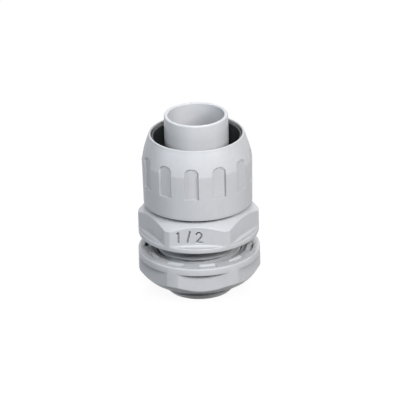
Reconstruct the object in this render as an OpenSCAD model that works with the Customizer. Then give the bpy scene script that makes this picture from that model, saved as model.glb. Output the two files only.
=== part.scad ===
// Liquidtight conduit connector, straight, 1/2 inch size, moulded plastic.
// Millimetres. The axis is Z and the open end of the entry thread is at z = 0.

/* [Wireway] */
// Wall between the spigot's outside and the bore that the wires pass through
spigot_wall = 1; // [0.85:0.05:1.5]

/* [Entry thread] */
// Major diameter of the entry thread
entry_d = 20.955; // [20.4:0.005:21.6]
// Length of the entry thread under the flange
entry_len = 15.6; // [13:0.1:20]
// Pitch of the entry thread
entry_pitch = 1.814; // [1.5:0.001:2]
// Depth that the bevelled tip is cut below the root of the entry thread
entry_tip_cut = 1.3; // [0.8:0.05:1.4]

/* [Body] */
// Distance of the hexagon's flats beyond the entry thread, which makes a 27 mm spanner size
hex_step = 3.0225; // [2.9:0.0025:3.5]
// Depth of the hexagon's flats below the round envelope of the body
hex_flat_depth = 1.65; // [1.4:0.05:2]
// Thickness of the flange under the hexagon
flange_h = 1.3; // [1:0.1:3]
// Height of the hexagon at its corners
hex_h = 4.1; // [3:0.1:8]
// Slope of the crown on top of the hexagon
crown_angle = 35; // [25:1:45]
// Direction of one flat of the body's hexagon
hex_turn = 268; // [240:1:300]

/* [Upper collar] */
// Major diameter of the collar's thread
collar_d = 24.4; // [24:0.1:24.8]
// Pitch of the collar's thread
collar_pitch = 1.5; // [1:0.05:1.75]
// Height of the collar above the crown
collar_h = 7.1; // [6:0.1:9]
// Wall between the collar's thread and the conduit pocket
collar_wall = 1.55; // [1.3:0.05:1.6]
// Depth of the conduit pocket inside the collar
pocket_depth = 5.2; // [2:0.1:6]

/* [Spigot] */
// Outer diameter of the spigot that goes inside the conduit
spigot_d = 16.1; // [15.8:0.05:16.6]
// Length of the spigot above the floor of the conduit pocket
spigot_len = 22.2; // [19:0.1:28]
// Rounding of the spigot's free edge
spigot_round = 0.35; // [0.1:0.05:0.45]

/* [Compression nut] */
// Wall of the nut over its thread, where the skirt meets the dome
nut_wall = 1.6; // [1.4:0.05:2.2]
// Narrowing of the nut's radius from there to its foot
nut_draft = 0.2; // [0:0.05:0.4]
// Height of the nut's skirt
skirt_h = 11.7; // [10.5:0.1:14]
// Height of the nut's dome
dome_h = 6.6; // [5:0.1:7]
// Width of the nut's mouth round the bore of the sealing ring
mouth_margin = 0.65; // [0.55:0.05:0.9]
// Width of the rounded lip round the mouth
lip_w = 0.6; // [0.4:0.05:0.9]
// Bulge of the dome beyond a straight cone
dome_bulge = 0.16; // [0.05:0.01:0.5]
// Gap between the nut's foot and the root of the collar
nut_gap = 0.85; // [0.6:0.05:4]
// Height of the nut's thread above the top of the collar
nut_thread_over = 0.95; // [0.8:0.05:1.5]
// Number of grip flutes round the nut
flute_n = 12; // [6:1:16]
// Width of a grip flute
flute_w = 3.6; // [2:0.1:4]
// Depth of a grip flute under the nut's largest radius
flute_depth = 0.7; // [0.3:0.05:0.8]
// Height of the plain band under the flutes
flute_foot = 5.7; // [3:0.1:7]
// Length of a grip flute
flute_len = 8.9; // [4:0.1:9.5]
// Direction of one flute
flute_turn = 263.5; // [240:0.5:300]

/* [Sealing ring] */
// Clearance between the sealing ring's bore and the conduit, which fills the pocket
seal_ease = 0.15; // [0.1:0.05:0.3]
// Distance of the sealing ring below the lip of the nut
seal_drop = 0.7; // [0.5:0.1:2]
// Clearance between the sealing ring and the nut
seal_gap = 0.1; // [0.05:0.01:0.2]
// Gap between the sealing ring and the top of the collar
seal_rise = 0.7; // [0.5:0.05:0.75]

/* [Locknut] */
// Overhang of the locknut's flange beyond the envelope of the body
lock_proud = 0.15; // [0:0.05:0.6]
// Depth of the locknut's flats below its flange
lock_flat_depth = 1.3; // [1:0.05:1.5]
// Overall height of the locknut
lock_h = 7.8; // [6.5:0.1:9]
// Thickness of the locknut's flange
lock_flange_h = 1.9; // [1.5:0.1:2.5]
// Width of the bevel at the locknut's lower end
lock_bevel_w = 2.5; // [1.5:0.1:3]
// Height of the bevel at the locknut's lower end
lock_bevel_h = 2.2; // [1:0.1:3]
// Gap between the flange and the locknut, where the box wall goes
panel_gap = 4.15; // [3.8:0.05:4.8]
// Direction of one flat of the locknut
lock_turn = 273; // [240:1:300]
// Width of the recessed seat round the bore, as a share of the locknut's face
seat_share = 0.29; // [0.2:0.01:0.32]
// Depth of the recessed seat round the bore
seat_depth = 0.4; // [0.2:0.05:0.7]
// Width of the plain rim outside the grip pockets, as a share of the locknut's face
rim_share = 0.36; // [0.25:0.01:0.45]
// Number of sloping grip pockets in the locknut's face
pocket_n = 10; // [6:1:12]
// Depth of a grip pocket at its outer end
grip_depth = 1; // [0.5:0.05:1.3]
// Length of a grip pocket round the locknut
grip_len = 4.4; // [2:0.1:5.4]
// Direction of one grip pocket
grip_turn = 352.5; // [300:0.5:380]

/* [Face seal] */
// Thickness of the face seal's ring
face_seal_w = 1.6; // [1.4:0.1:1.8]
// Distance of the face seal's middle from the crests of the entry thread
face_seal_step = 1.3225; // [1.1:0.0025:1.8]
// Height of the face seal that stands proud of the flange
face_seal_proud = 0.5; // [0.3:0.05:0.6]
// Clearance of the face seal in its groove
face_seal_gap = 0.08; // [0.05:0.01:0.1]

/* [Fits] */
// Radial clearance of the threads
thread_gap = 0.05; // [0.03:0.01:0.1]
// Small edge bevel of the mouldings
edge = 0.3; // [0.1:0.05:0.4]

/* [Hidden] */
$fn = 96;
grey = [0.78, 0.785, 0.80];
black = [0.10, 0.11, 0.12];
overlap = 1;
arc_steps = 8;
// Depth of a thread over its pitch, for flanks that meet at 55 degrees
thread_form = 0.64;

entry_r = entry_d / 2;
hex_af = 2 * (entry_r + hex_step);
body_r = hex_af / 2 + hex_flat_depth;
entry_tip_r = entry_r - thread_form * entry_pitch - entry_tip_cut;
collar_r = collar_d / 2;
collar_root_r = collar_r - thread_form * collar_pitch;
pocket_r = collar_r - collar_wall;
spigot_r = spigot_d / 2;
bore_r = spigot_r - spigot_wall;

flange_z = entry_len;
ledge_z = flange_z + flange_h;
crown_z = ledge_z + hex_h;
crown_rise = (body_r - collar_r) * tan(crown_angle);
collar_z = crown_z + crown_rise;
collar_top_z = collar_z + collar_h;
pocket_z = collar_top_z - pocket_depth;
spigot_top_z = pocket_z + spigot_len;

nut_z = collar_z + nut_gap;
shoulder_z = nut_z + skirt_h;
mouth_z = shoulder_z + dome_h;
lip_z = mouth_z - lip_w / 2;
nut_thread_r = collar_r + thread_gap;
nut_thread_top_z = collar_top_z + nut_thread_over;
nut_r = nut_thread_r + nut_wall;
nut_foot_r = nut_r - nut_draft;
flute_floor_r = nut_r - flute_depth;

seal_z = collar_top_z + seal_rise;
seal_top_z = mouth_z - seal_drop;
seal_bore_r = pocket_r + seal_ease;
mouth_r = seal_bore_r + mouth_margin;

lock_top_z = flange_z - panel_gap;
lock_z = lock_top_z - lock_h;
lock_r = body_r + lock_proud;
lock_af = 2 * (lock_r - lock_flat_depth);
lock_thread_r = entry_r + thread_gap;
lock_face_w = lock_r - lock_thread_r;
seat_r = lock_thread_r + seat_share * lock_face_w;
rim_r = lock_r - rim_share * lock_face_w;
// Plain land between the seat and the grip pockets, a small share of the face
land_w = 0.06 * lock_face_w;

face_seal_r = entry_r + face_seal_step;
face_groove_roof_z = flange_z - face_seal_proud + face_seal_w + face_seal_gap;

// Radius of the nut's inner cone at height z, from the thread's top to the lip.
function nut_inner_r(z) =
    nut_thread_r + (mouth_r - nut_thread_r) * (z - nut_thread_top_z) / (lip_z - nut_thread_top_z);

// Points of an arc round a centre in the profile plane, both ends included.
function arc(cx, cz, r, from, to) =
    [for (i = [0 : arc_steps]) let (a = from + (to - from) * i / arc_steps) [cx + r * cos(a), cz + r * sin(a)]];

// Points of the dome's outline, a shallow bulge on the chord from the shoulder to the lip.
function dome_outline(r0, z0, r1, z1) =
    [for (i = [0 : arc_steps]) let (t = i / arc_steps) [
        r0 + (r1 - r0) * t + 4 * dome_bulge * t * (1 - t),
        z0 + (z1 - z0) * t
    ]];

// Six flats cut into a round envelope, between two heights.
module flats(af, turn, from_z, to_z) {
    for (i = [0 : 5])
        rotate([0, 0, turn + 60 * i])
            translate([af / 2, -body_r * 2, from_z])
                cube([body_r * 2, body_r * 4, to_z - from_z]);
}

// Entry thread at its major diameter. Its tip is bevelled from below the root of the thread.
module entry_shank() {
    rotate_extrude()
        polygon([
            [0, 0],
            [entry_tip_r, 0],
            [entry_r, entry_r - entry_tip_r],
            [entry_r, flange_z + flange_h / 2],
            [0, flange_z + flange_h / 2]
        ]);
}

// Flange, hexagon envelope, crown and collar, turned as one outline.
// The collar's upper edge is bevelled down to the root of its thread.
module body_envelope() {
    rotate_extrude()
        polygon([
            [0, flange_z],
            [body_r - edge, flange_z],
            [body_r, flange_z + edge],
            [body_r, crown_z],
            [collar_r, collar_z],
            [collar_r, collar_top_z - (collar_r - collar_root_r)],
            [collar_root_r, collar_top_z],
            [0, collar_top_z]
        ]);
}

// Spigot with a rounded free edge, standing in the conduit pocket.
module spigot() {
    rotate_extrude()
        polygon(concat(
            [[0, pocket_z - overlap], [spigot_r, pocket_z - overlap]],
            arc(spigot_r - spigot_round, spigot_top_z - spigot_round, spigot_round, 0, 90),
            [[0, spigot_top_z]]
        ));
}

// Ring-shaped pocket that the end of the conduit goes into.
module conduit_pocket() {
    translate([0, 0, pocket_z])
        difference() {
            cylinder(r = pocket_r, h = pocket_depth + overlap);
            translate([0, 0, -overlap])
                cylinder(r = spigot_r, h = pocket_depth + 3 * overlap);
        }
}

// Groove under the flange that holds the face seal.
module face_groove() {
    half_w = face_seal_w / 2 + face_seal_gap;
    translate([0, 0, flange_z - overlap])
        difference() {
            cylinder(r = face_seal_r + half_w, h = face_groove_roof_z - flange_z + overlap);
            translate([0, 0, -overlap])
                cylinder(r = face_seal_r - half_w, h = face_groove_roof_z - flange_z + 3 * overlap);
        }
}

// Bore for the wires, bevelled at both ends.
module wireway() {
    rotate_extrude()
        polygon([
            [0, -overlap],
            [bore_r + edge + overlap, -overlap],
            [bore_r, edge],
            [bore_r, spigot_top_z - edge],
            [bore_r + edge + overlap, spigot_top_z + overlap],
            [0, spigot_top_z + overlap]
        ]);
}

module connector_body() {
    color(grey)
        difference() {
            union() {
                difference() {
                    union() {
                        entry_shank();
                        body_envelope();
                    }
                    flats(hex_af, hex_turn, ledge_z, collar_z);
                    conduit_pocket();
                    face_groove();
                }
                spigot();
            }
            wireway();
        }
}

// Cutter for one grip flute: a slot with a round arch at its upper end.
module flute() {
    arch_r = flute_w / 2;
    translate([flute_floor_r, 0, nut_z + flute_foot])
        rotate([90, 0, 90])
            linear_extrude(height = 2 * nut_r)
                union() {
                    translate([-arch_r, 0])
                        square([flute_w, flute_len - arch_r]);
                    translate([0, flute_len - arch_r])
                        circle(r = arch_r);
                }
}

// Outline of the nut's wall, outside first and then inside.
module nut_wall() {
    lip_r = lip_w / 2;
    rotate_extrude()
        polygon(concat(
            [[nut_thread_r + edge, nut_z], [nut_foot_r - edge, nut_z], [nut_foot_r, nut_z + edge]],
            dome_outline(nut_r, shoulder_z, mouth_r + lip_w, lip_z),
            arc(mouth_r + lip_r, lip_z, lip_r, 0, 180),
            [[nut_thread_r, nut_thread_top_z], [nut_thread_r, nut_z + edge]]
        ));
}

module compression_nut() {
    color(grey)
        difference() {
            nut_wall();
            for (i = [0 : flute_n - 1])
                rotate([0, 0, flute_turn + 360 / flute_n * i])
                    flute();
        }
}

// Elastomer sleeve that lines the nut and is squeezed onto the conduit.
module sealing_ring() {
    color(black)
        rotate_extrude()
            polygon([
                [seal_bore_r + edge, seal_z],
                [nut_inner_r(nut_thread_top_z) - seal_gap, seal_z],
                [nut_inner_r(nut_thread_top_z) - seal_gap, nut_thread_top_z],
                [nut_inner_r(seal_top_z) - seal_gap, seal_top_z],
                [seal_bore_r + edge, seal_top_z],
                [seal_bore_r, seal_top_z - edge],
                [seal_bore_r, seal_z + edge]
            ]);
}

// Elastomer ring in the flange's groove, which seals on the wall of the box.
module face_seal() {
    color(black)
        translate([0, 0, flange_z - face_seal_proud + face_seal_w / 2])
            rotate_extrude()
                translate([face_seal_r, 0])
                    circle(d = face_seal_w);
}

// Cutter for one grip pocket: its floor slopes down outwards to a steep end wall.
module grip_pocket() {
    in_r = seat_r + land_w;
    slope = grip_depth / (rim_r - in_r);
    translate([0, grip_len / 2, lock_top_z])
        rotate([90, 0, 0])
            linear_extrude(height = grip_len)
                polygon([
                    [in_r - overlap, overlap * slope],
                    [rim_r, -grip_depth],
                    [rim_r, overlap],
                    [in_r - overlap, overlap]
                ]);
}

// Round outline of the locknut: bevelled lower end, bevelled bore and a seat round the bore.
module lock_envelope() {
    seat_z = lock_top_z - seat_depth;
    rotate_extrude()
        polygon([
            [lock_thread_r + edge, lock_z],
            [lock_r - lock_bevel_w, lock_z],
            [lock_r, lock_z + lock_bevel_h],
            [lock_r, lock_top_z - edge],
            [lock_r - edge, lock_top_z],
            [seat_r, lock_top_z],
            [seat_r, seat_z],
            [lock_thread_r + edge, seat_z],
            [lock_thread_r, seat_z - edge],
            [lock_thread_r, lock_z + edge]
        ]);
}

module locknut() {
    color(grey)
        difference() {
            lock_envelope();
            flats(lock_af, lock_turn, lock_z - overlap, lock_top_z - lock_flange_h);
            for (i = [0 : pocket_n - 1])
                rotate([0, 0, grip_turn + 360 / pocket_n * i])
                    grip_pocket();
        }
}

connector_body();
compression_nut();
sealing_ring();
face_seal();
locknut();
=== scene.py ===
"""Looks of a straight liquidtight conduit connector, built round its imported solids.

Lengths in the classes are millimetres and the scene is in metres. The axis is Z, and the
open end of the entry thread is at height 0.
"""

import logging
import math
from collections.abc import Callable
from dataclasses import dataclass
from enum import Enum

import bmesh
import bpy
from mathutils import Matrix, Vector


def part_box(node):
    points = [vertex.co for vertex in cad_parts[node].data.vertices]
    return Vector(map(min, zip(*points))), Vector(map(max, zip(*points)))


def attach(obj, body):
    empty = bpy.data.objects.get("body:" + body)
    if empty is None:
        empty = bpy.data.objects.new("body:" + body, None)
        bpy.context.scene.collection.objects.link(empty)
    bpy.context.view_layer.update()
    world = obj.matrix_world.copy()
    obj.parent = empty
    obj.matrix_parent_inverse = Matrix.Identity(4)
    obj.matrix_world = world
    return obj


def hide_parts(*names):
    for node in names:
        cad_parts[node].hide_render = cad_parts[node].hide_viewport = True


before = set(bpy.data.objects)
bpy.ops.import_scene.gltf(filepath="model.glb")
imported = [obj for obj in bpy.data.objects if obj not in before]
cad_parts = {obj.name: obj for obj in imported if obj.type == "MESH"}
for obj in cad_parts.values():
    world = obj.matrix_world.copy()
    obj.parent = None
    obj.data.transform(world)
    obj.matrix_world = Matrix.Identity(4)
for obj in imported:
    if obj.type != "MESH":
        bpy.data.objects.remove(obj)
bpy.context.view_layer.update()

MM = 0.001
MERGE = 0.002
SHARP_DEGREES = 42.0
log = logging.getLogger("connector")

Form = Callable[[float, float, float], tuple[float, float]]


class Slot(Enum):
    """Material slots of the part's record."""

    MOULDING = "grey_moulding"
    ELASTOMER = "black_elastomer"


class Body(Enum):
    """Moving bodies of the part's record."""

    BODY = "body"
    NUT = "nut"
    MOUTH_SEAL = "seal_ring"
    FACE_SEAL = "flange_seal"
    LOCKNUT = "wall_nut"


def smooth_step(start: float, end: float, at: float) -> float:
    """Rises smoothly from 0 at the start to 1 at the end.

    Args:
        start: Where the rise starts.
        end: Where the rise ends. It may be less than the start.
        at: Where the value is taken.

    Returns:
        A number from 0 to 1.
    """
    part = min(max((at - start) / (end - start), 0.0), 1.0)
    return part * part * (3.0 - 2.0 * part)


def soft_min(first: float, second: float, blend: float) -> float:
    """The smaller of two lengths, with the crease between them rounded.

    Args:
        first: One length.
        second: The other length.
        blend: Difference under which the rounding starts.

    Returns:
        The smaller length, less the rounding.
    """
    near = max(blend - abs(first - second), 0.0) / blend
    return min(first, second) - near * near * blend / 4.0


def soft_max(first: float, second: float, blend: float) -> float:
    """The larger of two lengths, with the crease between them rounded."""
    return -soft_min(-first, -second, blend)


def swing(bearing: float, turn: float, count: int) -> float:
    """Angle from the nearest of some evenly spaced features.

    Args:
        bearing: Bearing in radians.
        turn: Bearing of one feature, in degrees.
        count: Number of features round the axis.

    Returns:
        Signed angle in radians.
    """
    gap = math.tau / count
    return (bearing - math.radians(turn) + gap / 2.0) % gap - gap / 2.0


@dataclass(frozen=True)
class Span:
    """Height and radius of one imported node."""

    low: float
    high: float
    radius: float

    @classmethod
    def of(cls, node: str) -> "Span":
        """Measures a node of the frame.

        Args:
            node: Name of the node.

        Returns:
            Its lowest and highest height and its largest radius.
        """
        low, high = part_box(node)
        return cls(low.z / MM, high.z / MM, max(high.x, -low.x) / MM)


@dataclass(frozen=True)
class Ring:
    """One ring of a turned piece, with an optional form of its own round the axis."""

    radius: float
    height: float
    form: Form | None = None

    def at(self, bearing: float) -> tuple[float, float]:
        """Radius and height of the ring at a bearing in radians."""
        return self.form(self.radius, self.height, bearing) if self.form else (self.radius, self.height)


@dataclass(frozen=True)
class Corner:
    """A corner of a turned outline. The step and the form belong to the stretch after it."""

    radius: float
    height: float
    fillet: float = 0.0
    step: float = 0.0
    form: Form | None = None


def rounded(before: Vector, corner: Corner, after: Vector, steps: int = 4) -> list[Ring]:
    """Rings of one corner, rounded where it has a fillet.

    Args:
        before: Radius and height of the corner before it.
        corner: The corner.
        after: Radius and height of the corner after it.
        steps: Number of steps in the rounding.

    Returns:
        The rings in order.
    """
    point = Vector((corner.radius, corner.height))
    if corner.fillet <= 0.0:
        return [Ring(corner.radius, corner.height, corner.form)]
    back, ahead = before - point, after - point
    half = back.angle(ahead) / 2.0
    reach = min(corner.fillet / math.tan(half), 0.45 * back.length, 0.45 * ahead.length)
    size = reach * math.tan(half)
    back.normalize()
    ahead.normalize()
    centre = point + (back + ahead).normalized() * (size / math.sin(half))
    start, end = point + back * reach - centre, point + ahead * reach - centre
    first = math.atan2(start.y, start.x)
    sweep = (math.atan2(end.y, end.x) - first + math.pi) % math.tau - math.pi
    angles = [first + sweep * i / steps for i in range(steps + 1)]
    return [Ring(centre.x + size * math.cos(a), centre.y + size * math.sin(a)) for a in angles]


def outline(items: list[Corner | Ring]) -> list[Ring]:
    """Rings of a closed outline.

    Args:
        items: Corners, and rings that stay as they are, in order round the outline.

    Returns:
        All the rings, with the stretches between corners divided by their steps.
    """
    points = [Vector((item.radius, item.height)) for item in items]
    runs = [
        [item] if isinstance(item, Ring) else rounded(points[i - 1], item, points[(i + 1) % len(items)])
        for i, item in enumerate(items)
    ]
    rings: list[Ring] = []
    for i, item in enumerate(items):
        rings += runs[i]
        if isinstance(item, Ring) or item.step <= 0.0:
            continue
        last, following = runs[i][-1], runs[(i + 1) % len(runs)][0]
        start, end = Vector((last.radius, last.height)), Vector((following.radius, following.height))
        parts = max(1, math.ceil((end - start).length / item.step))
        for part in range(1, parts):
            spot = start.lerp(end, part / parts)
            rings.append(Ring(spot.x, spot.y, item.form))
    return rings


def columns(base: int, marks: list[float], spread: float, each: int) -> list[float]:
    """Bearings at which a turned piece has its columns, closer together at some marks.

    Args:
        base: Number of evenly spaced columns.
        marks: Bearings in degrees of upright edges that need more columns.
        spread: Half the width in degrees of the closer columns at a mark.
        each: Number of closer columns at a mark.

    Returns:
        Bearings in radians, in order.
    """
    least = 0.5 * 2.0 * spread / each
    close = [(m - spread + 2.0 * spread * i / (each - 1)) % 360.0 for m in marks for i in range(each)]
    kept = sorted(close)
    for i in range(base):
        bearing = 360.0 * i / base
        gap = min((abs((bearing - c + 180.0) % 360.0 - 180.0) for c in close), default=360.0)
        if gap > least:
            kept.append(bearing)
    return [math.radians(b) for b in sorted(kept)]


def turned(name: str, items: list[Corner | Ring], bearings: list[float]) -> bpy.types.Object:
    """Rolls a grid round the axis and gives each of its rings a place and a form.

    Args:
        name: Name of the piece.
        items: Corners and rings of the closed outline.
        bearings: Bearings of the columns, in radians.

    Returns:
        The piece, as an object of the scene.
    """
    rings = outline(items)
    mesh = bmesh.new()
    bmesh.ops.create_grid(mesh, x_segments=len(rings), y_segments=len(bearings), size=1.0)
    for vertex in mesh.verts:
        ring = rings[round((vertex.co.x + 1.0) / 2.0 * len(rings)) % len(rings)]
        bearing = bearings[round((vertex.co.y + 1.0) / 2.0 * len(bearings)) % len(bearings)]
        radius, height = ring.at(bearing)
        vertex.co = Vector((radius * math.cos(bearing), radius * math.sin(bearing), height)) * MM
    bmesh.ops.remove_doubles(mesh, verts=mesh.verts, dist=MERGE * MM)
    return finished(name, mesh)


def finished(name: str, mesh: bmesh.types.BMesh) -> bpy.types.Object:
    """Makes a mesh a piece of the scene, smooth except at its sharp edges.

    Args:
        name: Name of the piece.
        mesh: The mesh, which is freed.

    Returns:
        The new object.
    """
    bmesh.ops.recalc_face_normals(mesh, faces=mesh.faces)
    for face in mesh.faces:
        face.smooth = True
    for edge in mesh.edges:
        edge.smooth = edge.is_manifold and edge.calc_face_angle(0.0) < math.radians(SHARP_DEGREES)
    data = bpy.data.meshes.new(name)
    mesh.to_mesh(data)
    mesh.free()
    piece = bpy.data.objects.new(name, data)
    bpy.context.scene.collection.objects.link(piece)
    return piece


@dataclass(frozen=True)
class Thread:
    """A right-hand screw thread with rounded crests and roots."""

    crest: float
    pitch: float
    lead: float = 0.0
    depth_share: float = 0.64
    crest_land: float = 0.14

    @property
    def root(self) -> float:
        """Radius at the bottom of the groove."""
        return self.crest - self.depth_share * self.pitch

    def lobe(self, height: float, bearing: float) -> float:
        """Height of the thread's profile at a point.

        Args:
            height: Height along the axis.
            bearing: Bearing in radians.

        Returns:
            1 on a crest and 0 in the groove.
        """
        turn = (height - self.lead) / self.pitch - bearing / math.tau
        return smooth_step(self.crest_land, 1.0 - self.crest_land, abs(2.0 * (turn - math.floor(turn)) - 1.0))

    def radius(self, height: float, bearing: float, left: float = 1.0, open_end: bool = False) -> float:
        """Radius of the thread's surface.

        Args:
            height: Height along the axis.
            bearing: Bearing in radians.
            left: Share of the thread that is left where it runs out.
            open_end: True where it runs out to the crest's radius, as in a nut.

        Returns:
            The radius.
        """
        lobe = self.lobe(height, bearing)
        if open_end:
            return self.crest - self.depth_share * self.pitch * left * (1.0 - lobe)
        return self.root + self.depth_share * self.pitch * left * lobe


@dataclass(frozen=True)
class Hexagon:
    """Six flats cut into a round envelope."""

    flat: float
    envelope: float
    turn: float
    corner_blend: float = 0.09

    def radius(self, bearing: float) -> float:
        """Radius of the flats and the rounded corners at a bearing in radians."""
        return soft_min(self.flat / math.cos(swing(bearing, self.turn, 6)), self.envelope, self.corner_blend)

    def edges(self) -> list[float]:
        """Bearings in degrees at which a flat meets the envelope."""
        half = math.degrees(math.acos(self.flat / self.envelope))
        return [self.turn + 60.0 * i + side * half for i in range(6) for side in (-1.0, 1.0)]

    def ledge(self, level: float, up: float, size: float, foot_size: float, steps: int = 4) -> list[Ring]:
        """Rings of the ledge between the round envelope and the flats.

        Args:
            level: Height of the ledge.
            up: 1 where the ledge faces up, -1 where it faces down.
            size: Rounding of its outer edge.
            foot_size: Rounding of its inner corner.
            steps: Number of steps in each rounding.

        Returns:
            The rings from the envelope inwards.
        """

        def edge(angle: float) -> Form:
            """Form of one ring of the outer edge's rounding."""

            def form(radius: float, height: float, bearing: float) -> tuple[float, float]:
                """Radius and height, with the rounding kept under half of the ledge's width."""
                own = min(size, 0.45 * (self.envelope - self.radius(bearing)))
                return (
                    self.envelope - own * (1.0 - math.cos(angle)),
                    level - up * own * (1.0 - math.sin(angle)),
                )

            return form

        def foot(angle: float) -> Form:
            """Form of one ring of the inner corner's rounding."""

            def form(radius: float, height: float, bearing: float) -> tuple[float, float]:
                """Radius and height, with the rounding kept under half of the ledge's width."""
                inner = self.radius(bearing)
                own = min(foot_size, 0.5 * (self.envelope - inner))
                return inner + own * (1.0 - math.sin(angle)), level + up * own * (1.0 - math.cos(angle))

            return form

        angles = [math.pi / 2.0 * i / steps for i in range(steps + 1)]
        return [Ring(self.envelope, level, edge(a)) for a in angles] + [Ring(self.flat, level, foot(a)) for a in angles]


class Level:
    """A number in a material: a socket with Python's operators as Math nodes."""

    def __init__(self, graph: "Graph", socket: bpy.types.NodeSocket) -> None:
        """Wraps a socket of a graph's node."""
        self.graph = graph
        self.socket = socket

    def _math(self, operation: str, *values: "Level | float") -> "Level":
        """Adds a Math node for an operation on some values."""
        made = self.graph.node("ShaderNodeMath", {"operation": operation}, dict(enumerate(values)))
        return Level(self.graph, made.outputs[0])

    def __add__(self, other: "Level | float") -> "Level":
        """This value plus the other."""
        return self._math("ADD", self, other)

    __radd__ = __add__

    def __sub__(self, other: "Level | float") -> "Level":
        """This value less the other."""
        return self._math("SUBTRACT", self, other)

    def __rsub__(self, other: "Level | float") -> "Level":
        """The other value less this one."""
        return self._math("SUBTRACT", other, self)

    def __mul__(self, other: "Level | float") -> "Level":
        """This value times the other."""
        return self._math("MULTIPLY", self, other)

    __rmul__ = __mul__

    def __truediv__(self, other: "Level | float") -> "Level":
        """This value over the other."""
        return self._math("DIVIDE", self, other)

    def __rtruediv__(self, other: "Level | float") -> "Level":
        """The other value over this one."""
        return self._math("DIVIDE", other, self)

    def __pow__(self, other: "Level | float") -> "Level":
        """This value to the power of the other."""
        return self._math("POWER", self, other)

    def most(self, other: "Level | float") -> "Level":
        """The larger of this value and the other."""
        return self._math("MAXIMUM", self, other)

    def between(self, start: float, end: float) -> "Level":
        """Smooth rise of this value from 0 at the start to 1 at the end.

        Args:
            start: Value that gives 0.
            end: Value that gives 1.

        Returns:
            A value from 0 to 1.
        """
        settings = {"interpolation_type": "SMOOTHSTEP"}
        made = self.graph.node("ShaderNodeMapRange", settings, {"Value": self, "From Min": start, "From Max": end})
        return Level(self.graph, made.outputs[0])


class Graph:
    """The nodes of a material or of the world."""

    def __init__(self, tree: bpy.types.NodeTree) -> None:
        """Starts an empty graph."""
        self.tree = tree
        self.tree.nodes.clear()

    def node(self, kind: str, settings: dict | None = None, values: dict | None = None) -> bpy.types.Node:
        """Adds a node.

        Args:
            kind: Type of the node.
            settings: Its settings, which are set first.
            values: Its sockets' values or links, by socket name or number.

        Returns:
            The node.
        """
        made = self.tree.nodes.new(kind)
        for name, value in (settings or {}).items():
            setattr(made, name, value)
        for name, value in (values or {}).items():
            socket = made.inputs[name]
            source = value.socket if isinstance(value, Level) else value
            if isinstance(source, bpy.types.NodeSocket):
                self.tree.links.new(source, socket)
            else:
                socket.default_value = source
        return made

    def backdrop(self) -> Level:
        """1 for rays that show the backdrop, directly or in a mirror or glass, and 0 for its light."""
        paths = self.node("ShaderNodeLightPath").outputs
        direct, mirrored, passed = (Level(self, paths[f"Is {kind} Ray"]) for kind in ("Camera", "Glossy", "Transmission"))
        return direct.most(mirrored).most(passed)


class SurfaceGraph(Graph):
    """The nodes of one material, with a Principled shader and an output."""

    def __init__(self, name: str) -> None:
        """Starts a material."""
        self.material = bpy.data.materials.new(name)
        self.material.use_nodes = True
        super().__init__(self.material.node_tree)
        self.shader = self.node("ShaderNodeBsdfPrincipled")
        self.output = self.node("ShaderNodeOutputMaterial", {}, {"Surface": self.shader.outputs[0]})
        self.place = self.node("ShaderNodeTexCoord").outputs["Object"]

    def noise(self, grain: float, detail: float = 3.0, rough: float = 0.5, stretch: Vector | None = None) -> Level:
        """Noise on the object's own coordinates.

        Args:
            grain: Size of its spots in millimetres.
            detail: Number of finer layers.
            rough: Strength of the finer layers.
            stretch: Scale along each axis, where the spots aren't round.

        Returns:
            A value around 0.5.
        """
        place = self.place
        if stretch is not None:
            place = self.node("ShaderNodeMapping", {}, {"Vector": place, "Scale": stretch}).outputs[0]
        values = {"Vector": place, "Scale": 1.0 / (grain * MM), "Detail": detail, "Roughness": rough}
        return Level(self, self.node("ShaderNodeTexNoise", {}, values).outputs[0])

    def specks(self, grain: float, size: float) -> Level:
        """Small round specks, sown at random.

        Args:
            grain: Mean distance between specks in millimetres.
            size: Radius of a speck as a share of the grain.

        Returns:
            1 in a speck and 0 outside.
        """
        values = {"Vector": self.place, "Scale": 1.0 / (grain * MM)}
        cells = self.node("ShaderNodeTexVoronoi", {}, values)
        return Level(self, cells.outputs["Distance"]).between(size, size * 0.4)

    def blend(self, share: Level, first: tuple, second: tuple | bpy.types.NodeSocket) -> bpy.types.NodeSocket:
        """Mixes two colours.

        Args:
            share: Share of the second colour.
            first: Colour, or the socket of one.
            second: Colour, or the socket of one.

        Returns:
            The mixed colour's socket.
        """
        made = self.node("ShaderNodeMix", {"data_type": "RGBA"}, {"Factor": share, 6: first, 7: second})
        return made.outputs[2]

    def bump(self, height: Level, strength: float, depth: float) -> bpy.types.NodeSocket:
        """Bump of the surface by a height.

        Args:
            height: Height from 0 to 1.
            strength: Strength of the bump.
            depth: Depth in millimetres for a height of 1.

        Returns:
            The normal's socket.
        """
        values = {"Strength": strength, "Distance": depth * MM, "Height": height}
        return self.node("ShaderNodeBump", {}, values).outputs[0]

    def feed(self, values: dict) -> bpy.types.Material:
        """Sets the shader's sockets and gives back the material."""
        for name, value in values.items():
            source = value.socket if isinstance(value, Level) else value
            if isinstance(source, bpy.types.NodeSocket):
                self.tree.links.new(source, self.shader.inputs[name])
            else:
                self.shader.inputs[name].default_value = source
        return self.material


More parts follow.
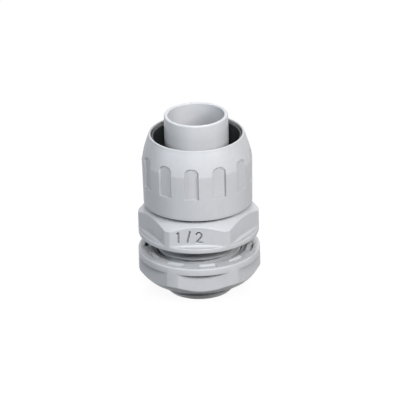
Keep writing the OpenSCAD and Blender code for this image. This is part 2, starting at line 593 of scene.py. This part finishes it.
@dataclass(frozen=True)
class SatinMoulding:
    """Light grey moulded nylon with a satin skin, faint flow clouds and a fine grain."""

    name: str
    colour: tuple[float, float, float] = (0.58, 0.59, 0.615)
    cloud_change: float = 0.035
    roughness: float = 0.36
    grain: float = 0.16
    grain_depth: float = 0.012

    def tint(self, share: float) -> tuple[float, float, float, float]:
        """The colour times a share."""
        return tuple(min(1.0, c * share) for c in self.colour) + (1.0,)

    def material(self) -> bpy.types.Material:
        """Builds the material.

        Returns:
            The material.
        """
        graph = SurfaceGraph(self.name)
        clouds = graph.noise(5.0, 4.0, 0.55, Vector((1.0, 1.0, 0.45)))
        patches = graph.noise(1.1, 3.0, 0.6)
        grain = graph.noise(self.grain, 2.0, 0.5)
        specks = graph.specks(1.3, 0.05)
        tone = clouds * 0.65 + patches * 0.35
        dark, light = self.tint(1.0 - self.cloud_change), self.tint(1.0 + self.cloud_change)
        base = graph.blend(tone.between(0.3, 0.7), dark, light)
        base = graph.blend(specks * 0.22, base, self.tint(0.72))
        rough = self.roughness + (patches - 0.5) * 0.12 + (grain - 0.5) * 0.1
        height = grain * 0.7 + patches * 0.3
        return graph.feed({
            "Base Color": base,
            "Roughness": rough,
            "Normal": graph.bump(height, 0.5, self.grain_depth),
            "IOR": 1.5,
            "Specular IOR Level": 0.4,
        })


@dataclass(frozen=True)
class MattElastomer:
    """Black moulded elastomer with a dry, dusty skin."""

    name: str
    colour: tuple[float, float, float, float] = (0.024, 0.028, 0.030, 1.0)
    bloom: tuple[float, float, float, float] = (0.046, 0.051, 0.055, 1.0)
    roughness: float = 0.58

    def material(self) -> bpy.types.Material:
        """Builds the material.

        Returns:
            The material.
        """
        graph = SurfaceGraph(self.name)
        dust = graph.noise(2.2, 4.0, 0.6)
        grain = graph.noise(0.11, 2.0, 0.5)
        streaks = graph.noise(0.8, 2.0, 0.5, Vector((1.0, 1.0, 0.15)))
        base = graph.blend((dust * 0.6 + streaks * 0.4).between(0.42, 0.72), self.colour, self.bloom)
        rough = self.roughness + (dust - 0.5) * 0.2
        return graph.feed({
            "Base Color": base,
            "Roughness": rough,
            "Normal": graph.bump(grain * 0.8 + streaks * 0.2, 0.6, 0.02),
            "IOR": 1.5,
        })


def dressed(piece: bpy.types.Object, finish: bpy.types.Material, slot: Slot, body: Body, node: str) -> None:
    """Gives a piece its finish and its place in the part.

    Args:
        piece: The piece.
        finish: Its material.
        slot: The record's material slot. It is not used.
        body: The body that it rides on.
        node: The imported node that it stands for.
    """
    piece.data.materials.clear()
    piece.data.materials.append(finish)
    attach(piece, body.value)
    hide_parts(node)
    log.info("%s rides on %s: %d faces", piece.name, body.value, len(piece.data.polygons))


@dataclass
class ConnectorBody:
    """The moulded body: entry thread, flange, hexagon, crown, threaded collar and spigot."""

    bore_r: float = 7.05
    bore_round: float = 0.3
    tip_r: float = 8.0165
    thread: Thread = Thread(10.46, 1.814, -0.27)
    runout_start: float = 12.4
    runout_end: float = 13.3
    flange_z: float = 15.6
    flange_h: float = 1.3
    flange_round: float = 0.22
    foot_round: float = 0.75
    hexagon: Hexagon = Hexagon(13.5, 15.15, 268.0)
    hex_h: float = 4.1
    crown_angle: float = 35.0
    crown_blend: float = 0.16
    collar_thread: Thread = Thread(12.18, 1.5)
    collar_h: float = 7.1
    collar_r: float = 12.2
    pocket_r: float = 10.65
    pocket_depth: float = 5.2
    spigot_r: float = 8.05
    spigot_round: float = 0.35
    groove_r: float = 11.8
    groove_half_w: float = 0.88
    groove_roof_z: float = 16.78

    @property
    def ledge_z(self) -> float:
        """Height of the ledge under the flats."""
        return self.flange_z + self.flange_h

    @property
    def crown_z(self) -> float:
        """Height at which the crown starts."""
        return self.ledge_z + self.hex_h

    @property
    def collar_z(self) -> float:
        """Height of the collar's root."""
        return self.crown_z + (self.hexagon.envelope - self.collar_r) * math.tan(math.radians(self.crown_angle))

    @property
    def collar_top_z(self) -> float:
        """Height of the collar's top."""
        return self.collar_z + self.collar_h

    def entry_form(self, radius: float, height: float, bearing: float) -> tuple[float, float]:
        """Entry thread with its bevelled tip and its run-out under the flange."""
        left = 1.0 - smooth_step(self.runout_start, self.runout_end, height)
        return soft_min(self.thread.radius(height, bearing, left), self.tip_r + height, 0.25), height

    def hex_form(self, radius: float, height: float, bearing: float) -> tuple[float, float]:
        """Flats under the cone of the crown."""
        cone = self.hexagon.envelope - (height - self.crown_z) / math.tan(math.radians(self.crown_angle))
        return soft_min(self.hexagon.radius(bearing), cone, self.crown_blend), height

    def collar_form(self, radius: float, height: float, bearing: float) -> tuple[float, float]:
        """Collar's thread, with a run-out at its root and a bevel at its top."""
        left = smooth_step(self.collar_z + 0.4, self.collar_z + 1.2, height)
        bevel = self.collar_thread.root + self.collar_top_z - height
        return soft_min(self.collar_thread.radius(height, bearing, left), bevel, 0.2), height

    def outline(self, top: float) -> list[Corner | Ring]:
        """Closed outline of the body.

        Args:
            top: Height of the spigot's end.

        Returns:
            Corners and rings, from the lower end of the bore round to its upper end.
        """
        envelope = self.hexagon.envelope
        floor_z = self.collar_top_z - self.pocket_depth
        groove_in, groove_out = self.groove_r - self.groove_half_w, self.groove_r + self.groove_half_w
        side_z = self.ledge_z + self.foot_round + 0.02
        root, collar_root = self.thread.root, self.collar_thread.root
        return [
            Corner(self.bore_r, 0.0, self.bore_round),
            Corner(self.tip_r, 0.0, 0.12, 0.12, self.entry_form),
            Corner(root, root - self.tip_r, 0.0, 0.12, self.entry_form),
            Corner(root, self.runout_end, 0.0),
            Corner(root, self.flange_z, 0.35),
            Corner(groove_in, self.flange_z, 0.08),
            Corner(groove_in, self.groove_roof_z, 0.1),
            Corner(groove_out, self.groove_roof_z, 0.1),
            Corner(groove_out, self.flange_z, 0.08),
            Corner(envelope, self.flange_z, 0.25),
            *self.hexagon.ledge(self.ledge_z, 1.0, self.flange_round, self.foot_round, 6),
            Corner(envelope, side_z, 0.0, 0.6, self.hex_form),
            Corner(envelope, self.crown_z - 0.5, 0.0, 0.12, self.hex_form),
            Corner(envelope - 1.65, self.crown_z + 1.5, 0.0, 0.3, self.hex_form),
            Ring(self.collar_r + 0.15, self.collar_z - 0.12, self.hex_form),
            Corner(self.collar_r - 0.1, self.collar_z, 0.05),
            Corner(collar_root, self.collar_z + 0.1, 0.15),
            Corner(collar_root, self.collar_z + 0.4, 0.0, 0.125, self.collar_form),
            Corner(collar_root, self.collar_top_z, 0.0),
            Corner(self.pocket_r, self.collar_top_z, 0.15),
            Corner(self.pocket_r, floor_z, 0.3),
            Corner(self.spigot_r, floor_z, 0.3, 4.0),
            Corner(self.spigot_r, top, self.spigot_round),
            Corner(self.bore_r, top, self.bore_round, 6.0),
        ]

    def build(self) -> bpy.types.Object:
        """Builds the body.

        Returns:
            The piece.
        """
        bearings = columns(180, self.hexagon.edges(), 1.3, 6)
        return turned("moulded_body", self.outline(Span.of("connector_body").high), bearings)


@dataclass
class CompressionNut:
    """The fluted compression nut, with a thin rounded lip."""

    foot_r: float = 13.65
    skirt_h: float = 11.7
    lip_w: float = 0.6
    mouth_r: float = 11.45
    dome_bulge: float = 0.16
    thread: Thread = Thread(12.28, 1.5)
    thread_h: float = 7.2
    runout_h: float = 0.9
    flute_count: int = 12
    flute_w: float = 3.6
    flute_depth: float = 0.7
    flute_foot: float = 5.7
    flute_len: float = 8.2
    flute_arch: float = 1.1
    flute_turn: float = 263.5
    wall_w: float = 0.2
    arch_w: float = 0.1
    foot_w: float = 0.06

    def __post_init__(self) -> None:
        """Takes the nut's place and largest radius from the frame."""
        self.span = Span.of("compression_nut")

    @property
    def flute_floor(self) -> float:
        """Distance of a flute's floor from the axis."""
        return self.span.radius - self.flute_depth

    def flute_form(self, radius: float, height: float, bearing: float) -> tuple[float, float]:
        """Wall of the nut with its flutes cut in."""
        off = swing(bearing, self.flute_turn, self.flute_count)
        across = abs(radius * math.sin(off))
        half = self.flute_w / 2.0
        rise = height - self.span.low - self.flute_foot
        arch_r = (half**2 + self.flute_arch**2) / (2.0 * self.flute_arch)
        over = max(rise - (self.flute_len - arch_r), 0.0)
        inside = min((half - across) / self.wall_w, (arch_r - math.hypot(across, over)) / self.arch_w)
        share = min(max(inside, 0.0), 1.0) * smooth_step(-self.foot_w, self.foot_w, rise)
        return radius - share * (radius - min(radius, self.flute_floor / math.cos(off))), height

    def thread_form(self, radius: float, height: float, bearing: float) -> tuple[float, float]:
        """Inner thread, with a bevel at the foot and a run-out at its top."""
        top = self.span.low + self.thread_h
        left = 1.0 - smooth_step(top - 2.0 * self.runout_h, top - self.runout_h, height)
        bevel = self.thread.crest + 0.25 - (height - self.span.low)
        return soft_max(self.thread.radius(height, bearing, left, True), bevel, 0.15), height

    def outline(self) -> list[Corner | Ring]:
        """Closed outline of the nut.

        Returns:
            Corners and rings, from its foot up the outside and down the inside.
        """
        low, shoulder, high = self.span.low, self.span.low + self.skirt_h, self.span.high
        lip = self.lip_w / 2.0
        lip_r, lip_z = self.mouth_r + self.lip_w, high - lip
        foot_z, crest = low + self.flute_foot, self.span.radius
        thread_top = low + self.thread_h

        def skirt(height: float) -> float:
            """Radius of the tapered skirt at a height."""
            return self.foot_r + (crest - self.foot_r) * (height - low) / self.skirt_h

        def dome(share: float) -> tuple[float, float]:
            """Radius and height of the dome at a share of its rise."""
            bulge = 4.0 * self.dome_bulge * share * (1.0 - share)
            return crest + (lip_r - crest) * share + bulge, shoulder + (lip_z - shoulder) * share

        arches = [Corner(*dome(i / 24.0), 0.0, 0.09, self.flute_form) for i in range(1, 12)]
        upper = [Corner(*dome(i / 24.0), 0.0, 0.0) for i in range(12, 24, 2)]
        arcs = [Ring(self.mouth_r + lip + lip * math.cos(a), lip_z + lip * math.sin(a))
                for a in (math.pi * i / 10.0 for i in range(11))]
        return [
            Corner(self.thread.crest + 0.25, low, 0.05),
            Corner(self.foot_r, low, 0.14, 0.8),
            Corner(skirt(foot_z - 0.2), foot_z - 0.2, 0.0, 0.05, self.flute_form),
            Corner(skirt(foot_z + 0.2), foot_z + 0.2, 0.0, 0.7, self.flute_form),
            Corner(skirt(shoulder - 0.3), shoulder - 0.3, 0.0, 0.1, self.flute_form),
            *[Ring(*self.eased(i / 5.0, skirt, dome), self.flute_form) for i in range(1, 6)],
            *arches,
            *upper,
            *arcs,
            Corner(self.mouth_r, lip_z - 0.2, 0.0, 1.2),
            Corner(self.thread.crest, thread_top, 0.2),
            Corner(self.thread.crest, thread_top - self.runout_h, 0.0, 0.125, self.thread_form),
        ]

    def eased(
        self, share: float, skirt: Callable[[float], float], dome: Callable[[float], tuple[float, float]]
    ) -> tuple[float, float]:
        """Point of the small rounding between the skirt and the dome.

        Args:
            share: Share of the way from the skirt to the dome.
            skirt: Radius of the skirt at a height.
            dome: Radius and height of the dome at a share of its rise.

        Returns:
            Radius and height.
        """
        shoulder = self.span.low + self.skirt_h
        first = Vector((skirt(shoulder - 0.25), shoulder - 0.25))
        middle = Vector((self.span.radius, shoulder))
        last = Vector(dome(0.035))
        point = first * (1.0 - share) ** 2 + middle * 2.0 * share * (1.0 - share) + last * share**2
        return point.x, point.y

    def build(self) -> bpy.types.Object:
        """Builds the nut.

        Returns:
            The piece.
        """
        half = math.degrees(math.asin((self.flute_w - self.wall_w) / 2.0 / (self.span.radius - 0.3)))
        gap = 360.0 / self.flute_count
        marks = [self.flute_turn + gap * i + side * half for i in range(self.flute_count) for side in (-1.0, 1.0)]
        return turned("fluted_nut", self.outline(), columns(180, marks, 1.0, 9))


@dataclass
class SealingRing:
    """The black elastomer sleeve that lines the nut's mouth."""

    bore_r: float = 10.8
    neck_h: float = 0.25
    rim_r: float = 11.373
    fillet: float = 0.25

    def outline(self) -> list[Corner | Ring]:
        """Closed outline of the sleeve.

        Returns:
            Its corners, from the bore's lower end outwards.
        """
        span = Span.of("sealing_ring")
        return [
            Corner(self.bore_r, span.low, self.fillet),
            Corner(span.radius, span.low, 0.1),
            Corner(span.radius, span.low + self.neck_h, 0.1, 1.5),
            Corner(self.rim_r, span.high, 0.2),
            Corner(self.bore_r, span.high, self.fillet, 1.5),
        ]

    def build(self) -> bpy.types.Object:
        """Builds the sleeve."""
        return turned("mouth_seal", self.outline(), columns(180, [], 1.0, 2))


@dataclass
class FaceSeal:
    """The black elastomer ring in the flange's groove."""

    steps: int = 20

    def build(self) -> bpy.types.Object:
        """Builds the ring.

        Returns:
            The piece.
        """
        span = Span.of("face_seal")
        half = (span.high - span.low) / 2.0
        centre_r, centre_z = span.radius - half, span.low + half
        angles = [math.tau * i / self.steps for i in range(self.steps)]
        rings = [Ring(centre_r + half * math.cos(a), centre_z + half * math.sin(a)) for a in angles]
        return turned("flange_seal_ring", rings, columns(180, [], 1.0, 2))


@dataclass
class Locknut:
    """The hexagonal locknut, with a round flange and grip pockets in its face."""

    flat_depth: float = 1.3
    flange_h: float = 1.9
    flange_round: float = 0.3
    bevel_w: float = 2.5
    bevel_h: float = 2.2
    bevel_blend: float = 0.35
    hex_turn: float = 273.0
    ledge_round: float = 0.2
    thread: Thread = Thread(10.5275, 1.814, -0.27)
    seat_r: float = 11.911
    seat_depth: float = 0.4
    land_w: float = 0.286
    rim_r: float = 13.582
    pocket_count: int = 10
    pocket_depth: float = 1.0
    pocket_len: float = 4.1
    pocket_turn: float = 350.8

    def __post_init__(self) -> None:
        """Takes the locknut's place and largest radius from the frame."""
        self.span = Span.of("locknut")
        self.hexagon = Hexagon(self.span.radius - self.flat_depth, self.span.radius, self.hex_turn)

    @property
    def pocket_half(self) -> float:
        """Half of the angle that a pocket takes, in radians."""
        return math.asin(self.pocket_len / 2.0 / ((self.seat_r + self.rim_r) / 2.0))

    def bore_form(self, radius: float, height: float, bearing: float) -> tuple[float, float]:
        """Inner thread, with a bevel at both ends."""
        seat_z = self.span.high - self.seat_depth
        bevel = self.thread.crest + 0.3 - min(height - self.span.low, seat_z - height)
        return soft_max(self.thread.radius(height, bearing), bevel, 0.2), height

    def face_form(self, radius: float, height: float, bearing: float) -> tuple[float, float]:
        """Face with its sloping grip pockets."""
        off = swing(bearing, self.pocket_turn, self.pocket_count)
        inner = self.seat_r + self.land_w
        slope = max(radius * math.cos(off) - inner, 0.0) / (self.rim_r - inner)
        wall = smooth_step(self.rim_r + 0.1, self.rim_r - 0.06, radius)
        edge = math.radians(0.4)
        side = smooth_step(self.pocket_half + edge, self.pocket_half - edge, abs(off))
        return radius, height - self.pocket_depth * min(slope, 1.1) * wall * side

    def hex_form(self, radius: float, height: float, bearing: float) -> tuple[float, float]:
        """Flats over the cone of the lower bevel."""
        cone = self.span.radius - self.bevel_w * (1.0 - (height - self.span.low) / self.bevel_h)
        return soft_min(self.hexagon.radius(bearing), cone, self.bevel_blend), height

    def outline(self) -> list[Corner | Ring]:
        """Closed outline of the locknut.

        Returns:
            Corners and rings, from the bore's lower end up, out and down again.
        """
        low, high, radius = self.span.low, self.span.high, self.span.radius
        seat_z, ledge_z = high - self.seat_depth, high - self.flange_h
        bore_r, end_r = self.thread.crest + 0.3, radius - self.bevel_w
        return [
            Corner(end_r - 0.4, low, 0.0),
            Ring(bore_r, low),
            Corner(bore_r, low + 0.05, 0.0, 0.125, self.bore_form),
            Ring(bore_r, seat_z - 0.05, self.bore_form),
            Ring(bore_r, seat_z),
            Corner(self.seat_r, seat_z, 0.05),
            Corner(self.seat_r, high, 0.05),
            Corner(self.seat_r + self.land_w, high, 0.0, 0.22, self.face_form),
            Corner(self.rim_r - 0.08, high, 0.0, 0.045, self.face_form),
            Corner(self.rim_r + 0.12, high, 0.0),
            Corner(radius, high, self.flange_round),
            *self.hexagon.ledge(ledge_z, -1.0, self.ledge_round, self.ledge_round),
            Corner(radius, ledge_z - self.ledge_round - 0.02, 0.0, 0.5, self.hex_form),
            Corner(radius, low + self.bevel_h + 0.35, 0.0, 0.11, self.hex_form),
            Ring(end_r, low + 0.12, self.hex_form),
            Ring(end_r - 0.12, low + 0.03),
        ]

    def build(self) -> bpy.types.Object:
        """Builds the locknut.

        Returns:
            The piece.
        """
        half, gap = math.degrees(self.pocket_half), 360.0 / self.pocket_count
        marks = [self.pocket_turn + gap * i + side * half for i in range(self.pocket_count) for side in (-1.0, 1.0)]
        return turned("hex_locknut", self.outline(), columns(180, marks + self.hexagon.edges(), 0.9, 5))


@dataclass(frozen=True)
class Stroke:
    """One pen stroke of an engraved character, as a chain of points."""

    points: tuple[tuple[float, float], ...]

    def distance(self, across: float, up: float) -> float:
        """Distance of a point of the flat from the stroke's middle line.

        Args:
            across: Place across the flat.
            up: Place up the flat.

        Returns:
            The distance.
        """
        spot = Vector((across, up))
        nearest = math.inf
        for start, end in zip(self.points, self.points[1:]):
            first, run = Vector(start), Vector(end) - Vector(start)
            share = min(max((spot - first).dot(run) / run.length_squared, 0.0), 1.0)
            nearest = min(nearest, (spot - first - run * share).length)
        return nearest


@dataclass(frozen=True)
class SizeMark:
    """The plain size number engraved in the front flat of the hexagon."""

    flat: float = 13.5
    turn: float = 268.0
    low: float = 18.08
    digit_h: float = 2.65
    depth: float = 0.8
    line_w: float = 0.36
    soft_w: float = 0.04
    cuts: int = 8
    arc_steps: int = 12

    def strokes(self) -> list[Stroke]:
        """The strokes of a one, a slash and a two.

        Returns:
            The strokes, from left to right.
        """
        low, high = self.low, self.low + self.digit_h
        bow_w, bow_h, bow_x = 0.68, 0.78, 0.4
        bow = [
            (bow_x + bow_w * math.cos(a), high - bow_h + bow_h * math.sin(a))
            for a in (math.radians(165.0 - 200.0 * i / self.arc_steps) for i in range(self.arc_steps + 1))
        ]
        return [
            Stroke(((-5.12, high - 0.42), (-4.69, high), (-4.69, low))),
            Stroke(((-2.5, low), (-1.78, high + 0.25))),
            Stroke((*bow, (bow_x - bow_w, low), (bow_x + bow_w + 0.1, low))),
        ]

    def engrave(self, piece: bpy.types.Object) -> None:
        """Presses the strokes into a piece's flat.

        Args:
            piece: The piece, whose faces are made finer where the strokes run.
        """
        strokes = self.strokes()
        points = [point for stroke in strokes for point in stroke.points]
        margin = self.line_w + self.soft_w
        left, right = min(p[0] for p in points) - margin, max(p[0] for p in points) + margin
        under, over = min(p[1] for p in points) - margin, max(p[1] for p in points) + margin
        bearing = math.radians(self.turn)
        out = Vector((math.cos(bearing), math.sin(bearing), 0.0))
        side = Vector((-out.y, out.x, 0.0))
        mesh = bmesh.new()
        mesh.from_mesh(piece.data)

        def place(point: Vector) -> tuple[float, float, float]:
            """Place across, up and out of the flat's plane, in millimetres."""
            return point.dot(side) / MM, point.z / MM, point.dot(out) / MM - self.flat

        def inside(point: Vector) -> bool:
            """True where a point lies on the flat, within the mark."""
            across, up, off = place(point)
            return abs(off) < 0.02 and left < across < right and under < up < over

        faces = [face for face in mesh.faces if inside(face.calc_center_median())]
        edges = {edge for face in faces for edge in face.edges}
        bmesh.ops.subdivide_edges(mesh, edges=list(edges), cuts=self.cuts, use_grid_fill=True)
        half = self.line_w / 2.0
        for vertex in mesh.verts:
            if inside(vertex.co):
                across, up, _ = place(vertex.co)
                gap = min(stroke.distance(across, up) for stroke in strokes)
                vertex.co -= out * self.depth * MM * smooth_step(half + self.soft_w, half - self.soft_w, gap)
        mesh.to_mesh(piece.data)
        mesh.free()


class Light(Enum):
    """The studio's soft boxes."""

    KEY = "key_box"
    FILL = "fill_box"
    SIDE = "side_box"
    BACK = "back_box"


@dataclass(frozen=True)
class SoftBox:
    """One square area light."""

    light: Light
    azimuth: float
    elevation: float
    distance: float
    size: float
    power: float
    colour: tuple[float, float, float] = (1.0, 1.0, 1.0)

    def build(self, target: Vector) -> None:
        """Hangs the light and aims it.

        Args:
            target: The point that it looks at.
        """
        data = bpy.data.lights.new(self.light.value, "AREA")
        data.shape, data.size, data.energy, data.color = "SQUARE", self.size, self.power, self.colour
        lamp = bpy.data.objects.new(self.light.value, data)
        turn, rise = math.radians(self.azimuth), math.radians(self.elevation)
        back = Vector((math.sin(turn) * math.cos(rise), -math.cos(turn) * math.cos(rise), math.sin(rise)))
        lamp.location = target + back * self.distance
        lamp.rotation_euler = (-back).to_track_quat("-Z", "Y").to_euler()
        bpy.context.scene.collection.objects.link(lamp)


@dataclass
class Studio:
    """Pale floor, soft light and the camera."""

    elevation: float = 23.9
    roll: float = -1.47
    distance: float = 1.5
    pixels_per_mm: float = 3.983
    image_width: int = 400
    sensor: float = 36.0
    look_height: float = 23.7
    look_aside: float = 0.48
    ambient: float = 0.02
    ambient_tint: tuple[float, float, float] = (0.86, 0.94, 1.0)
    floor_shade: float = 0.08
    floor_white: float = 0.93
    diffuse_bounces: int = 0
    boxes: tuple[SoftBox, ...] = (
        SoftBox(Light.KEY, 2.0, 40.0, 0.65, 0.24, 2.9),
        SoftBox(Light.FILL, -70.0, 22.0, 0.65, 0.24, 1.2, (0.82, 0.92, 1.0)),
        SoftBox(Light.SIDE, 46.0, 30.0, 0.65, 0.24, 2.55),
        SoftBox(Light.BACK, 176.0, 48.0, 0.65, 0.24, 2.0),
    )

    def build(self) -> None:
        """Builds the floor, the world, the lights and the camera."""
        self.floor()
        self.world()
        target = Vector((0.0, 0.0, self.look_height * MM))
        for box in self.boxes:
            box.build(target)
        self.camera(target)
        bpy.context.scene.view_settings.view_transform = "Standard"
        bpy.context.scene.cycles.diffuse_bounces = self.diffuse_bounces

    def floor(self) -> None:
        """Lays a pale floor that keeps the shadow and shows as white to the camera."""
        mesh = bmesh.new()
        bmesh.ops.create_grid(mesh, x_segments=1, y_segments=1, size=3.0)
        piece = finished("floor", mesh)
        graph = SurfaceGraph("pale_floor")
        shade = (self.floor_shade,) * 3 + (1.0,)
        graph.feed({"Base Color": shade, "Roughness": 0.9, "Specular IOR Level": 0.1})
        glow = graph.node("ShaderNodeEmission", {}, {"Strength": graph.backdrop() * self.floor_white})
        both = graph.node("ShaderNodeAddShader", {}, {0: graph.shader.outputs[0], 1: glow.outputs[0]})
        graph.tree.links.new(both.outputs[0], graph.output.inputs["Surface"])
        piece.data.materials.append(graph.material)

    def world(self) -> None:
        """Sets the soft light from all round, and the white backdrop."""
        world = bpy.data.worlds.new("studio")
        bpy.context.scene.world = world
        world.use_nodes = True
        graph = Graph(world.node_tree)
        values = {"Color": self.ambient_tint + (1.0,), "Strength": self.ambient}
        soft = graph.node("ShaderNodeBackground", {}, values).outputs[0]
        white = graph.node("ShaderNodeBackground", {}, {"Color": (1.0,) * 4, "Strength": 1.0}).outputs[0]
        mix = graph.node("ShaderNodeMixShader", {}, {0: graph.backdrop(), 1: soft, 2: white})
        graph.node("ShaderNodeOutputWorld", {}, {"Surface": mix.outputs[0]})

    def camera(self, target: Vector) -> None:
        """Places the camera at the photograph's view.

        Args:
            target: The point of the axis that it looks at.
        """
        data = bpy.data.cameras.new("camera")
        focal_pixels = self.pixels_per_mm * self.distance / MM
        data.sensor_width = self.sensor
        data.lens = focal_pixels * self.sensor / self.image_width
        data.clip_start, data.clip_end = 0.05, 20.0
        camera = bpy.data.objects.new("camera", data)
        rise = math.radians(self.elevation)
        back = Vector((0.0, -math.cos(rise), math.sin(rise)))
        aim = (-back).to_track_quat("-Z", "Y").to_matrix()
        camera.location = target + Vector((self.look_aside * MM, 0.0, 0.0)) + back * self.distance
        camera.rotation_euler = (aim @ Matrix.Rotation(math.radians(self.roll), 3, "Z")).to_euler()
        bpy.context.scene.collection.objects.link(camera)
        bpy.context.scene.camera = camera


def main() -> None:
    """Builds the pieces and the studio in order."""
    logging.basicConfig(level=logging.INFO, format="%(message)s")
    moulding = SatinMoulding("satin_grey_moulding").material()
    elastomer = MattElastomer("matt_black_elastomer").material()
    body = ConnectorBody().build()
    SizeMark().engrave(body)
    dressed(body, moulding, Slot.MOULDING, Body.BODY, "connector_body")
    dressed(CompressionNut().build(), moulding, Slot.MOULDING, Body.NUT, "compression_nut")
    dressed(SealingRing().build(), elastomer, Slot.ELASTOMER, Body.MOUTH_SEAL, "sealing_ring")
    dressed(FaceSeal().build(), elastomer, Slot.ELASTOMER, Body.FACE_SEAL, "face_seal")
    dressed(Locknut().build(), moulding, Slot.MOULDING, Body.LOCKNUT, "locknut")
    Studio().build()


if __name__ == "__main__":
    main()
